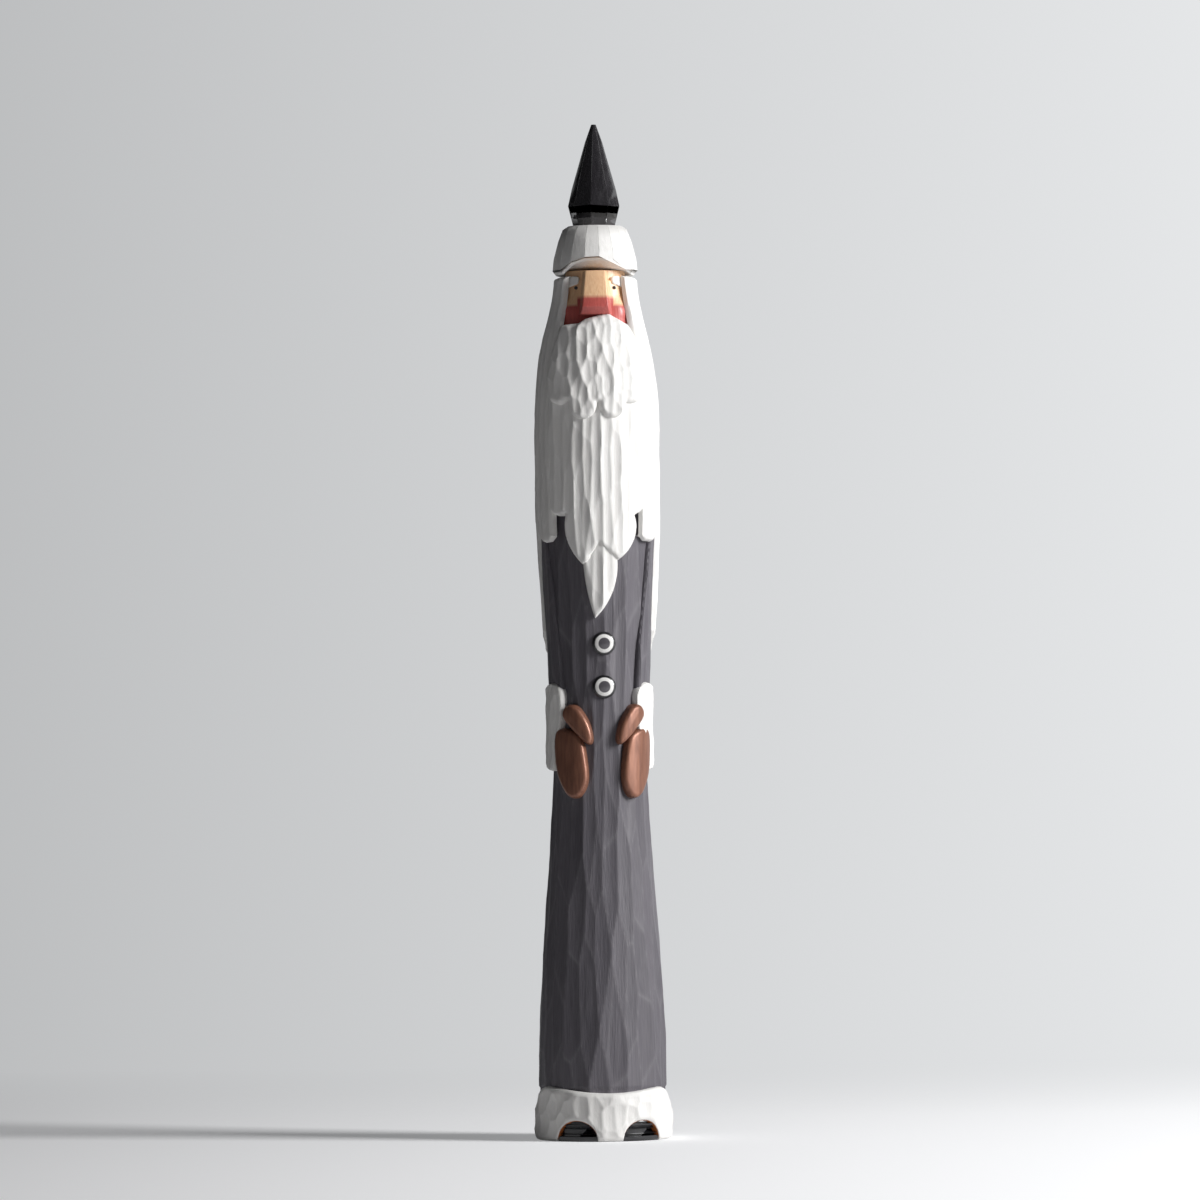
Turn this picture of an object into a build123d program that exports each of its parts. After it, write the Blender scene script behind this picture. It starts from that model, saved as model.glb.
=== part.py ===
"""A tall, slim tomte: a carved and painted wooden figure, built up on a two-part column.

The coat post and the head block are one column, joined by a dowel where the beard and the hair
hide the seam. Everything else is a carved skin or plaque glued to that column: hem, boots, sleeves, cuffs, mittens, buttons, beard,
hair, nose and brows. The brim sits on the crown, and the tenon of the hat point holds it there.

Millimetres, +Z up, standing on Z = 0, the face towards -Y. Left and right are the figure's own, so
its right hand is on the -X side. Angles round the column are counted from the front (-Y), positive
towards +X. The carver turned the coat's front a little away from the face's.
"""

from build123d import *

import os
from math import radians, tan

# ---- driving dimensions: the column ----
foot_radius = 16.0  # coat at the floor and up to the top of the hem
foot_height = 14.0
knee_radius = 13.8
knee_height = 58.0
waist_radius = 11.8
waist_height = 92.0
chest_radius = 12.1
chest_height = 122.0
shoulder_radius = 13.3
coat_height = 150.0  # floor to the neck
joint_rise = 10.0  # the coat post goes on above the neck, to the joint under the beard
jaw_radius = 13.5
jaw_rise = 18.0  # above the neck, as every rise from here on
cheek_radius = 11.5
cheek_rise = 45.0
brow_radius = 8.9
brow_rise = 56.0
crown_radius = 8.0
head_height = 63.5  # neck to the crown
coat_turn = 6.0  # degrees by which the coat's front is turned towards +X

# ---- fits ----
glue_line = 0.06  # gap between two glued faces
dowel_clearance = 0.08  # radial, round every dowel, tenon and stem

# ---- hidden joinery ----
dowel_radius = 3.0
dowel_depth = 13.0  # into each half of the column
tenon_radius = 2.5
tenon_depth = 15.0  # into the head block
socket_relief = 0.5  # glue space at the end of a blind hole

# ---- hat ----
brim_height = 12.0
brim_bottom_radius = 10.5  # corner radius of the faceted rim
brim_top_radius = 7.9
brim_facets = 12
brim_seat_depth = 1.0  # how far the crown sits inside the brim
brim_edge = 0.8
brim_arch_radius = 7.5  # the arched cut over the nose
brim_arch_rise = 3.6
point_base_radius = 5.4
point_belly_radius = 6.6
point_belly_rise = 5.0
point_shoulder_radius = 5.7
point_shoulder_rise = 9.3
point_height = 25.5
point_tip_radius = 0.5
point_facets = 9

# ---- face ----
nose_width = 8.4
nose_root_depth = 1.2  # how far the nose stands off the face at its root
nose_tip_depth = 3.6
nose_length = 10.5
nose_peg_radius = 1.0
nose_peg_length = 4.0
nose_round = 1.0
face_gap = 1.0  # from the nose's root up to the brim's underside
eye_radius = 0.45
eye_spacing = 9.4
eye_drop = 4.4  # below the crown
eye_length = 3.0
eye_proud = 0.25
brow_width = 3.4
brow_depth = 2.3
brow_thickness = 0.6
brow_angle = 42.0

# ---- beard and hair ----
lower_beard_thickness = 2.0
upper_beard_thickness = 1.4  # glued on the lower tier
hair_thickness = 2.1
parting = 0.12  # gap between the beard's side and the hair
beard_half_width = 12.9
beard_shoulder_rise = 33.0  # the beard keeps its width up to here
face_half_width = 9.0
face_rise = 50.0  # the beard has narrowed to the face's width here
moustache_rise = 50.0  # top of the beard above the neck, at the cheeks
moustache_peak = 2.4  # and how much higher it is under the nose
beard_hang = 22.0  # the beard's point, below the neck
upper_scallops = [  # middle and end of each arc of the short tier's edge, as x and rise
    (32.5,),
    ((10.4, 30.7), (8.0, 30.2)),
    ((4.4, 26.9), (0.4, 30.5)),
    ((-3.4, 26.4), (-7.5, 31.0)),
    ((-9.8, 30.4), (-12.7, 32.2)),
]
lower_scallops = [  # the same for the long tier: side lobe, middle lobe, point, lobes
    (8.4,),
    ((11.0, 5.2), (8.8, 4.6)),
    ((9.4, -1.6), (5.2, -8.0)),
    ((4.4, -14.6), (-1.0, -beard_hang)),
    ((-3.0, -14.8), (-4.0, -9.0)),
    ((-8.0, -3.6), (-8.2, 3.4)),
    ((-10.4, 3.8), (-12.7, 7.0)),
]
lock_drop = 3.0  # the front locks end this far below the neck
mantle_side_drop = 26.0
mantle_drop = 47.0  # point of the hair at the back
mantle_splay = 2.0  # degrees behind square to the face, where the mantle's lower part starts
mantle_edge = 1.0  # the mantle thins out to this at its point

# ---- arms ----
arm_angle = 66.0
sleeve_thickness = 0.7
cuff_thickness = 0.7  # glued on the sleeve
cuff_top_drop = 37.5
cuff_bottom_drop = 59.0
cuff_width = 6.6
cuff_slant = 6.9  # the cuff's foot lies this far behind its top
cuff_round = 1.2
sleeve_inset = 0.5  # the sleeve's edge behind the cuff's
mitten_angle = 35.5
mitten_thickness = 1.9
palm_points = [  # the palm's outline: away from the coat's front, and below the neck
    (2.2, -45.0),
    (4.6, -53.0),
    (4.4, -59.5),
    (0.5, -66.4),
    (-4.4, -61.0),
    (-5.2, -54.5),
    (-4.6, -49.5),
    (-1.0, -45.5),
]
thumb_half_length = 5.6
thumb_half_width = 2.5
thumb_thickness = 2.2
thumb_drop = 47.5
thumb_inset = 1.6  # thumb's middle, from the palm's towards the coat's front
thumb_lean = 55.0
knuckle_gap = 0.15  # cut between thumb and palm

# ---- buttons ----
button_radius = 2.9
button_thickness = 0.9
button_round = 0.5
button_stem_radius = 0.8
button_stem_length = 5.0
first_button_drop = 28.3
button_pitch = 10.6

# ---- hem and boots ----
hem_thickness = 0.9
hem_valley_height = 12.5
hem_crest_height = 13.8
hem_side_height = 5.5
arch_angle = 29.7
arch_half_width = 5.4
arch_height = 4.9
boot_gap = 0.1
boot_inner_radius = 11.0  # the boots' blocks reach this near the column's axis
toe_setback = 0.4  # toe behind the hem's face
toe_round = 1.0

# ---- what follows from them ----
reach = 2 * (foot_radius + hem_thickness)  # longer than any way out of the column
seam_angle = 73.0  # turns the seams of the revolved faces to the back, away from every edge
joint_height = coat_height + joint_rise
crown = coat_height + head_height
brim_bottom = crown - brim_seat_depth
brim_top = brim_bottom + brim_height
hat_tip = brim_top + point_height
hem_radius = foot_radius + hem_thickness

column_outline = [
    (knee_radius, knee_height),
    (waist_radius, waist_height),
    (chest_radius, chest_height),
    (shoulder_radius, coat_height),
    (jaw_radius, coat_height + jaw_rise),
    (cheek_radius, coat_height + cheek_rise),
    (brow_radius, coat_height + brow_rise),
    (crown_radius, crown),
]
finished = []


def column_area(low, high, grow=0.0):
    """Half section of the column between two heights, grown outwards by grow."""
    foot = (foot_radius + grow, 0)
    ankle = (foot_radius + grow, foot_height)
    top = (crown_radius + grow, crown)
    with BuildSketch() as area:
        with BuildLine():
            Line((0, 0), foot)
            Line(foot, ankle)
            Spline(ankle, *[(radius + grow, height) for radius, height in column_outline])
            Line(top, (0, crown))
            Line((0, crown), (0, 0))
        make_face()
        with Locations((reach / 2, (low + high) / 2)):
            Rectangle(reach, high - low, mode=Mode.INTERSECT)
    return area.sketch_local


def skin(inner, outer, low, high, mode=Mode.ADD):
    """Revolves the ring between inner and outer millimetres off the column.

    With no inner distance the ring is filled in to the axis.
    """
    with BuildSketch(facing(seam_angle)) as section:
        add(column_area(low, high, outer))
        if inner is not None:
            add(column_area(low, high, inner), mode=Mode.SUBTRACT)
    revolve(section.sketch, axis=Axis.Z, mode=mode)


def facing(angle):
    """The plane through the axis that faces out of the column at this angle from the front."""
    return Plane.XZ.rotated((0, 0, angle))


def column_radius(low, high=None):
    """The column's radius at a height, or its largest between two, from the same outline."""
    return column_area(low, high or low + 0.01).bounding_box().max.X


def finish(builder, label):
    """Names a finished piece and writes it."""
    builder.part.label = label
    export_step(builder.part, f"parts/{label}.step")
    finished.append(builder.part)


def thumb_area(side, grow=0.0):
    """A thumb, leaning from the cuff down to the coat's front; side is 1 for the left hand."""
    with BuildSketch() as area:
        with Locations((-side * thumb_inset, coat_height - thumb_drop)):
            Ellipse(thumb_half_length + grow, thumb_half_width + grow, rotation=side * thumb_lean)
    return area.sketch_local


def palm_area(side):
    """One mitten without its thumb."""
    with BuildSketch() as area:
        with BuildLine():
            Spline(*[(side * x, coat_height + rise) for x, rise in palm_points], periodic=True)
        make_face()
        add(thumb_area(side, knuckle_gap), mode=Mode.SUBTRACT)
    return area.sketch_local


def cuff_outline(side, inset=0.0):
    """The slanted fur band at the end of a sleeve, in the arm's plane."""
    front = -4.7 + inset
    top = coat_height - cuff_top_drop
    bottom = coat_height - cuff_bottom_drop
    return [
        (side * front, top),
        (side * (front + cuff_slant), bottom + inset),
        (side * (front + cuff_slant + cuff_width), bottom + inset),
        (side * (front + cuff_width), top),
    ]


def arch_area(shrink=0.0):
    """The half round arch that a boot stands in."""
    with BuildSketch() as area:
        Ellipse(arch_half_width - shrink, arch_height - shrink)
        with Locations((0, arch_height / 2)):
            Rectangle(2 * arch_half_width, arch_height, mode=Mode.INTERSECT)
    return area.sketch_local


def front_opening(grow, bottom):
    """What the hair leaves open at the front: the beard's width, then the face's."""
    wide = beard_half_width + grow
    narrow = face_half_width + grow
    with BuildSketch() as opening:
        with BuildLine():
            Polyline(
                (-wide, bottom),
                (-wide, coat_height + beard_shoulder_rise),
                (-narrow, coat_height + face_rise),
                (-narrow, crown + 1),
                (narrow, crown + 1),
                (narrow, coat_height + face_rise),
                (wide, coat_height + beard_shoulder_rise),
                (wide, bottom),
                close=True,
            )
        make_face()
    return opening.sketch_local


def beard_plaque(scallops, bottom):
    """The area of one beard tier: scallops below, the moustache's curve above, the nose cut out.

    Each scallop is an arc, given by the middle point and the end point of its edge, from the left
    hand's side to the right hand's. Heights are counted from the neck.
    """
    side = beard_half_width - parting
    with BuildSketch() as plaque:
        with BuildLine():
            start = (side, coat_height + scallops[0][0])
            Line((side, coat_height + moustache_rise), start)
            for (middle_x, middle_z), (end_x, end_z) in scallops[1:]:
                end = (end_x, coat_height + end_z)
                ThreePointArc(start, (middle_x, coat_height + middle_z), end)
                start = end
            Line(start, (-side, coat_height + moustache_rise))
            ThreePointArc(
                (-side, coat_height + moustache_rise),
                (0, coat_height + moustache_rise + moustache_peak),
                (side, coat_height + moustache_rise),
            )
        make_face()
        add(front_opening(-parting, bottom), mode=Mode.INTERSECT)
        with Locations((0, nose_bottom - glue_line)):
            Rectangle(
                nose_width + 2 * glue_line,
                reach,
                align=(Align.CENTER, Align.MIN),
                mode=Mode.SUBTRACT,
            )
    return plaque.sketch_local


os.makedirs("parts", exist_ok=True)

# ---- the column ----
with BuildPart() as coat_post:
    skin(None, 0, 0, joint_height)
    with BuildSketch(Plane.XY.offset(joint_height)):
        Circle(dowel_radius + dowel_clearance)
    extrude(amount=-(dowel_depth + socket_relief), mode=Mode.SUBTRACT)
    for boot_side in (1, -1):
        with BuildSketch(facing(coat_turn + boot_side * arch_angle).offset(boot_inner_radius)):
            add(arch_area())
        extrude(amount=reach, mode=Mode.SUBTRACT)
    for number in range(2):
        stem_height = coat_height - first_button_drop - number * button_pitch
        stem_depth = column_radius(stem_height) - button_stem_length - socket_relief
        with BuildSketch(facing(coat_turn).offset(stem_depth)):
            with Locations((0, stem_height)):
                Circle(button_stem_radius + dowel_clearance)
        extrude(amount=reach, mode=Mode.SUBTRACT)
finish(coat_post, "coat_post")

nose_bottom = brim_bottom - face_gap + 0.4 - nose_length
nose_peg_height = nose_bottom + nose_length / 2
face_radius = column_radius(nose_peg_height)
eye_height = crown - eye_drop

with BuildPart() as head_block:
    skin(None, 0, joint_height, crown)
    with BuildSketch(Plane.XY.offset(joint_height)):
        Circle(dowel_radius + dowel_clearance)
    extrude(amount=dowel_depth + socket_relief, mode=Mode.SUBTRACT)
    with BuildSketch(Plane.XY.offset(crown)):
        Circle(tenon_radius + dowel_clearance)
    extrude(amount=-(tenon_depth + socket_relief), mode=Mode.SUBTRACT)
    with BuildSketch(Plane.XZ.offset(face_radius - nose_peg_length - socket_relief)):
        with Locations((0, nose_peg_height)):
            Circle(nose_peg_radius + dowel_clearance)
    extrude(amount=reach, mode=Mode.SUBTRACT)
    with BuildSketch(Plane.XZ.offset(column_radius(eye_height) - eye_length - socket_relief)):
        with Locations((-eye_spacing / 2, eye_height), (eye_spacing / 2, eye_height)):
            Circle(eye_radius + dowel_clearance)
    extrude(amount=reach, mode=Mode.SUBTRACT)
finish(head_block, "head_block")

with BuildPart() as neck_dowel:
    with BuildSketch(Plane.XY.offset(joint_height - dowel_depth)):
        Circle(dowel_radius)
    extrude(amount=2 * dowel_depth)
    chamfer(neck_dowel.edges().filter_by(GeomType.CIRCLE), 0.4)
finish(neck_dowel, "neck_dowel")

# ---- the hat ----
with BuildPart() as hat_brim:
    for rim_height, rim_radius in (
        (brim_bottom, brim_bottom_radius),
        (brim_top - brim_edge, brim_top_radius),
        (brim_top, brim_top_radius - brim_edge),
    ):
        with BuildSketch(Plane.XY.offset(rim_height)):
            RegularPolygon(rim_radius, brim_facets)
    loft(ruled=True)
    with BuildSketch(Plane.XY.offset(brim_bottom)):
        Circle(column_radius(brim_bottom, crown) + glue_line)
    extrude(amount=brim_seat_depth, mode=Mode.SUBTRACT)
    with BuildSketch(Plane.XY.offset(brim_bottom)):
        Circle(tenon_radius + dowel_clearance)
    extrude(amount=brim_height, mode=Mode.SUBTRACT)
    with BuildSketch(Plane.XZ.offset(crown_radius)):
        with Locations((0, brim_bottom)):
            Ellipse(brim_arch_radius, brim_arch_rise)
    extrude(amount=reach, taper=-20, mode=Mode.SUBTRACT)
finish(hat_brim, "hat_brim")

with BuildPart() as hat_point:
    for rise, point_radius in (
        (0, point_base_radius),
        (point_belly_rise, point_belly_radius),
        (point_shoulder_rise, point_shoulder_radius),
        (point_height, point_tip_radius),
    ):
        with BuildSketch(Plane.XY.offset(brim_top + rise)):
            RegularPolygon(point_radius, point_facets)
    loft(ruled=True)
    with BuildSketch(Plane.XY.offset(brim_top)):
        Circle(tenon_radius)
    extrude(amount=-(brim_top - crown + tenon_depth))
finish(hat_point, "hat_point")

# ---- the face ----
with BuildPart() as nose:
    with BuildSketch(Plane.YZ.offset(-nose_width / 2)):
        with BuildLine():
            Polyline(
                (0, nose_bottom),
                (-(face_radius + nose_tip_depth - nose_round), nose_bottom),
                (-(face_radius + nose_tip_depth), nose_bottom + 2.4),
                (-(face_radius + nose_root_depth), nose_bottom + nose_length),
                (0, nose_bottom + nose_length),
                close=True,
            )
        make_face()
    extrude(amount=nose_width)
    fillet(nose.edges().filter_by(Axis.X).sort_by(Axis.Y)[:2], nose_round)
    skin(None, glue_line, nose_bottom - 1, crown, mode=Mode.SUBTRACT)
    with BuildSketch(Plane.XZ.offset(face_radius - nose_peg_length)):
        with Locations((0, nose_peg_height)):
            Circle(nose_peg_radius)
    extrude(amount=nose_peg_length + nose_root_depth)
finish(nose, "nose")

for eye_side, eye_name in ((1, "eye_left"), (-1, "eye_right")):
    with BuildPart() as eye:
        with BuildSketch(Plane.XZ.offset(column_radius(eye_height) - eye_length)):
            with Locations((eye_side * eye_spacing / 2, eye_height)):
                Circle(eye_radius)
        extrude(amount=eye_length)
        skin(None, eye_proud, eye_height - 2, eye_height + 2, mode=Mode.INTERSECT)
    finish(eye, eye_name)

for brow_side, brow_name in ((1, "brow_left"), (-1, "brow_right")):
    with BuildPart() as brow:
        with BuildSketch(facing(brow_side * brow_angle)):
            with Locations((0, eye_height + eye_radius + brow_depth / 2 + 0.4)):
                Ellipse(brow_width / 2, brow_depth / 2)
        extrude(amount=reach)
        skin(glue_line, brow_thickness, eye_height, crown, mode=Mode.INTERSECT)
    finish(brow, brow_name)

# ---- beard and hair ----
beard_bottom = coat_height - beard_hang - 1

with BuildPart() as lower_beard:
    with BuildSketch(Plane.XZ):
        add(beard_plaque(lower_scallops, beard_bottom))
    extrude(amount=reach)
    skin(glue_line, lower_beard_thickness, beard_bottom, crown, mode=Mode.INTERSECT)
finish(lower_beard, "lower_beard")

with BuildPart() as upper_beard:
    with BuildSketch(Plane.XZ):
        add(beard_plaque(upper_scallops, coat_height))
    extrude(amount=reach)
    skin(
        lower_beard_thickness + glue_line,
        lower_beard_thickness + upper_beard_thickness,
        coat_height,
        crown,
        mode=Mode.INTERSECT,
    )
finish(upper_beard, "upper_beard")

mantle_point = coat_height - mantle_drop
mantle_side = coat_height - mantle_side_drop
hair_radius = shoulder_radius + hair_thickness
open_angle = 20.0  # the shell is open in front, up to here on both sides

with BuildPart() as hair:
    with BuildSketch(facing(open_angle - 90)) as hair_section:
        add(column_area(mantle_point, brim_bottom - glue_line, hair_thickness))
        with BuildLine():
            Polyline(
                (0, mantle_point),
                (chest_radius + mantle_edge, mantle_point),
                (chest_radius + mantle_edge + 0.2, mantle_side),
                (hair_radius, coat_height),
                (reach, coat_height + jaw_rise),
                (reach, crown),
                (0, crown),
                close=True,
            )
        make_face(mode=Mode.INTERSECT)
        add(column_area(mantle_point, brim_bottom, glue_line), mode=Mode.SUBTRACT)
    revolve(hair_section.sketch, axis=Axis.Z, revolution_arc=360 - 2 * open_angle)
    with BuildSketch(Plane.XZ):
        add(front_opening(0, mantle_point - 1))
    extrude(amount=reach, mode=Mode.SUBTRACT)
    with BuildSketch(Plane.XY.offset(coat_height - lock_drop)):
        with BuildLine():
            Polyline(
                (0, 0),
                (reach, reach * tan(radians(mantle_splay))),
                (reach, -reach),
                (-reach, -reach),
                (-reach, reach * tan(radians(mantle_splay))),
                close=True,
            )
        make_face()
    extrude(amount=-mantle_drop, mode=Mode.SUBTRACT)
    with BuildSketch(Plane.XZ):
        with BuildLine():
            Spline(
                (-hair_radius - 1, mantle_side + 14),
                (-hair_radius + 2.5, mantle_side - 2),
                (-hair_radius / 2, mantle_point + 7),
                (0, mantle_point),
                (hair_radius / 2, mantle_point + 7),
                (hair_radius - 2.5, mantle_side - 2),
                (hair_radius + 1, mantle_side + 14),
            )
            Polyline(
                (hair_radius + 1, mantle_side + 14),
                (hair_radius + 1, mantle_point - 2),
                (-hair_radius - 1, mantle_point - 2),
                (-hair_radius - 1, mantle_side + 14),
            )
        make_face()
    extrude(amount=-reach, mode=Mode.SUBTRACT)
finish(hair, "hair")

# ---- arms ----
for arm_side, arm_name in ((1, "left"), (-1, "right")):
    arm_plane = facing(coat_turn + arm_side * arm_angle)
    with BuildPart() as sleeve:
        with BuildSketch(arm_plane):
            top_front, bottom_front, bottom_rear, top_rear = cuff_outline(arm_side, sleeve_inset)
            with BuildLine():
                Polyline(
                    (arm_side * 0.8, coat_height - lock_drop - 0.5),
                    top_front,
                    bottom_front,
                    bottom_rear,
                    (top_rear[0] + arm_side * 3, top_rear[1] - 6),
                    (arm_side * 3.8, coat_height - mantle_side_drop - 2),
                    (arm_side * 3.8, coat_height - lock_drop - 0.5),
                    close=True,
                )
            make_face()
        extrude(amount=reach)
        skin(glue_line, sleeve_thickness, 0, coat_height, mode=Mode.INTERSECT)
    finish(sleeve, f"sleeve_{arm_name}")

    with BuildPart() as cuff:
        with BuildSketch(arm_plane) as cuff_sketch:
            with BuildLine():
                Polyline(*cuff_outline(arm_side), close=True)
            make_face()
            fillet(cuff_sketch.vertices(), cuff_round)
        extrude(amount=reach)
        skin(
            sleeve_thickness + glue_line,
            sleeve_thickness + cuff_thickness,
            0,
            coat_height,
            mode=Mode.INTERSECT,
        )
    finish(cuff, f"cuff_{arm_name}")

    mitten_plane = facing(coat_turn + arm_side * mitten_angle)
    with BuildPart() as palm:
        with BuildSketch(mitten_plane):
            add(palm_area(arm_side))
        extrude(amount=reach)
        skin(glue_line, mitten_thickness, 0, coat_height, mode=Mode.INTERSECT)
    finish(palm, f"mitten_{arm_name}")

    with BuildPart() as thumb:
        with BuildSketch(mitten_plane):
            add(thumb_area(arm_side))
        extrude(amount=reach)
        skin(glue_line, thumb_thickness, 0, coat_height, mode=Mode.INTERSECT)
    finish(thumb, f"thumb_{arm_name}")

# ---- buttons ----
coat_front = Axis((0, 0, 0), facing(coat_turn).z_dir)

for number, button_name in enumerate(("button_upper", "button_lower")):
    button_height = coat_height - first_button_drop - number * button_pitch
    seat = column_radius(button_height)
    with BuildPart() as button:
        with BuildSketch(facing(coat_turn)):
            with Locations((0, button_height)):
                Circle(button_radius)
        extrude(amount=seat + button_thickness)
        fillet(button.faces().sort_by(coat_front)[-1].edges(), button_round)
        skin(None, glue_line, 0, coat_height, mode=Mode.SUBTRACT)
        with BuildSketch(facing(coat_turn).offset(seat - button_stem_length)):
            with Locations((0, button_height)):
                Circle(button_stem_radius)
        extrude(amount=button_stem_length + button_thickness / 2)
    finish(button, button_name)

# ---- hem and boots ----
with BuildPart() as hem_band:
    skin(glue_line, hem_thickness, 0, hem_crest_height + 1)
    with BuildSketch(facing(coat_turn)):
        with BuildLine():
            Spline(
                (-hem_radius - 0.5, hem_side_height),
                (-hem_radius * 0.86, 9.6),
                (-8.4, hem_crest_height),
                (0, hem_valley_height),
                (8.4, hem_crest_height),
                (hem_radius * 0.86, 9.6),
                (hem_radius + 0.5, hem_side_height),
            )
            Polyline(
                (hem_radius + 0.5, hem_side_height),
                (hem_radius + 0.5, hem_crest_height + 2),
                (-hem_radius - 0.5, hem_crest_height + 2),
                (-hem_radius - 0.5, hem_side_height),
            )
        make_face()
    extrude(amount=reach, mode=Mode.SUBTRACT)
    with BuildSketch(facing(coat_turn)):
        with Locations((0, hem_side_height)):
            Rectangle(2 * reach, reach, align=(Align.CENTER, Align.MIN))
    extrude(amount=-reach, mode=Mode.SUBTRACT)
    for boot_side in (1, -1):
        with BuildSketch(facing(coat_turn + boot_side * arch_angle).offset(boot_inner_radius)):
            add(arch_area())
        extrude(amount=reach, mode=Mode.SUBTRACT)
finish(hem_band, "hem_band")

for boot_side, boot_name in ((1, "boot_left"), (-1, "boot_right")):
    with BuildPart() as boot:
        with BuildSketch(facing(coat_turn + boot_side * arch_angle).offset(boot_inner_radius + boot_gap)):
            add(arch_area(boot_gap))
        extrude(amount=reach)
        skin(None, hem_thickness - toe_setback, 0, foot_height, mode=Mode.INTERSECT)
    finish(boot, boot_name)

print(f"{len(finished)} pieces, {hat_tip:.1f} mm tall")
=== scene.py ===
# %% [markdown]
# # A carved and painted tomte
#
# The figure is one slim column of basswood. A carver has cut it all over with a gouge and a knife,
# and then painted each part: white hair and beard, a dark grey coat, bronze mittens, black boots and
# a lacquered point on the hat. Almost everything that the eye sees is made by those two tools, so
# this lesson first makes a gouge, then lets every piece be cut by it.
#
# The CAD model gives the frame. Its parts are smooth, so each carved part is modelled again here, in
# the same place and to the same size, and stands for its CAD node.

# %% The frame
import math

import bmesh
import bpy
import numpy as np
from mathutils import Matrix


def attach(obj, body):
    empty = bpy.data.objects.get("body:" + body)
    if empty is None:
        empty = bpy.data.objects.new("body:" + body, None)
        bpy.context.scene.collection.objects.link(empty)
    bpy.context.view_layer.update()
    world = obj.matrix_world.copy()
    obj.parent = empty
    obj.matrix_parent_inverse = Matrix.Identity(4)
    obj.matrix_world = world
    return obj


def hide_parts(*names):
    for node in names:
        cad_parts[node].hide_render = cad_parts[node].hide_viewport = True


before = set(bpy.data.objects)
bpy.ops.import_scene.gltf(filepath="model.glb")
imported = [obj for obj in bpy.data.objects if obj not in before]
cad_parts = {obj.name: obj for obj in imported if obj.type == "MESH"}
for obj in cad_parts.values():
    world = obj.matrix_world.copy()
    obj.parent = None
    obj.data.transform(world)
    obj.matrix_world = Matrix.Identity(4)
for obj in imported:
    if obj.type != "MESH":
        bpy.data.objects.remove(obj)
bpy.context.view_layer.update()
MM = 0.001

# %% [markdown]
# ## The column
#
# Every piece is wrapped round one turned shape. Its radius at each height is read from the two CAD
# nodes that make the column: of all their points at one height, the farthest from the axis lies on
# the outside. Heights where only a hole's points lie are left out.

# %% The column's radius
widest_bore = 7.9


def read_column():
    """Heights and radii of the column's outside, in millimetres."""
    points = np.array([
        vert.co for node in ("coat_post", "head_block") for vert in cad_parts[node].data.vertices
    ]) / MM
    heights = np.round(points[:, 2], 1)
    reach = np.hypot(points[:, 0], points[:, 1])
    levels = np.unique(heights)
    outside = np.array([reach[heights == level].max() for level in levels])
    solid = outside > widest_bore
    return levels[solid], outside[solid]


column_levels, column_radii = read_column()


def column(height):
    """The column's radius at a height or an array of heights."""
    return np.interp(height, column_levels, column_radii)


print("column radius at 5, 90, 160 and 210 mm:", np.round(column([5, 90, 160, 210]), 2))

# %% [markdown]
# ## The gouge
#
# A gouge leaves a shallow trough: curved across its width by the shape of the blade, and a little
# along its length by the swing of the hand. Where two troughs meet they leave a crisp ridge. That is
# the lower of two parabolas, so the carved surface is the smallest of all the strokes' parabolas at
# each point, and the ridges need no drawing: they are where the smallest changes over.
#
# Bump mapping could fake this, but the light rakes the figure from the side, and real troughs also
# notch its outline.

# %% Strokes
def lay_strokes(seed, columns, span, length, low, high, wander=0.28, unevenness=0.05):
    """Staggered strokes over an area, one row each: place across, height, lean, depth, tone.

    Places across run from span[0] to span[1] in as many columns, and length is a stroke's length.
    """
    dice = np.random.default_rng(seed)
    width = (span[1] - span[0]) / columns
    strokes = []
    for number in range(columns):
        height = low - length * dice.uniform(0.0, 1.0)
        while height < high + length:
            across = span[0] + width * (number + 0.5 + dice.normal(0, wander))
            lean = dice.normal(0, 0.03)
            strokes.append((across, height, lean, dice.normal(0, unevenness), dice.uniform(0, 1)))
            height += length * dice.uniform(0.65, 1.3)
    return np.array(strokes)


def carve(across, height, strokes, blade, swing, period=None, scale=1.0):
    """Cuts the strokes: how far each point is left above the deepest cut, the ridges, the tones.

    blade and swing are the radii of a trough across and along, in millimetres.
    """
    left = np.empty(len(across))
    ridge = np.empty(len(across))
    tone = np.empty(len(across))
    scale = np.broadcast_to(scale, across.shape)
    for start in range(0, len(across), 8000):
        part = slice(start, start + 8000)
        rise = height[part, None] - strokes[None, :, 1]
        aside = across[part, None] - strokes[None, :, 0] + strokes[None, :, 2] * rise / 14
        if period:
            aside = (aside + period / 2) % period - period / 2
        aside = aside * scale[part, None]
        cuts = aside ** 2 / (2 * blade) + rise ** 2 / (2 * swing) + strokes[None, :, 3]
        first = np.argmin(cuts, axis=1)
        rows = np.arange(len(first))
        lowest = cuts[rows, first]
        cuts[rows, first] = np.inf
        left[part] = lowest
        ridge[part] = np.exp((lowest - cuts.min(axis=1)) / 0.035)
        tone[part] = strokes[first, 4]
    return left, ridge, tone


print("a 3.5 mm wide trough of a 7 mm blade is", round(3.5 ** 2 / 8 / 7, 2), "mm deep")

# %% [markdown]
# ## Sheets
#
# Beard, hair, cuffs and mittens are thin shapes with a cut outline, laid round the column. Each one
# starts as a flat grid in front of it. The grid's triangles outside the outline are deleted, and its
# border is moved onto the outline, which gives a clean edge with the fine, even mesh that the gouge
# marks need inside. A filled polygon would have the same edge but nothing inside to carve.

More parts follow.
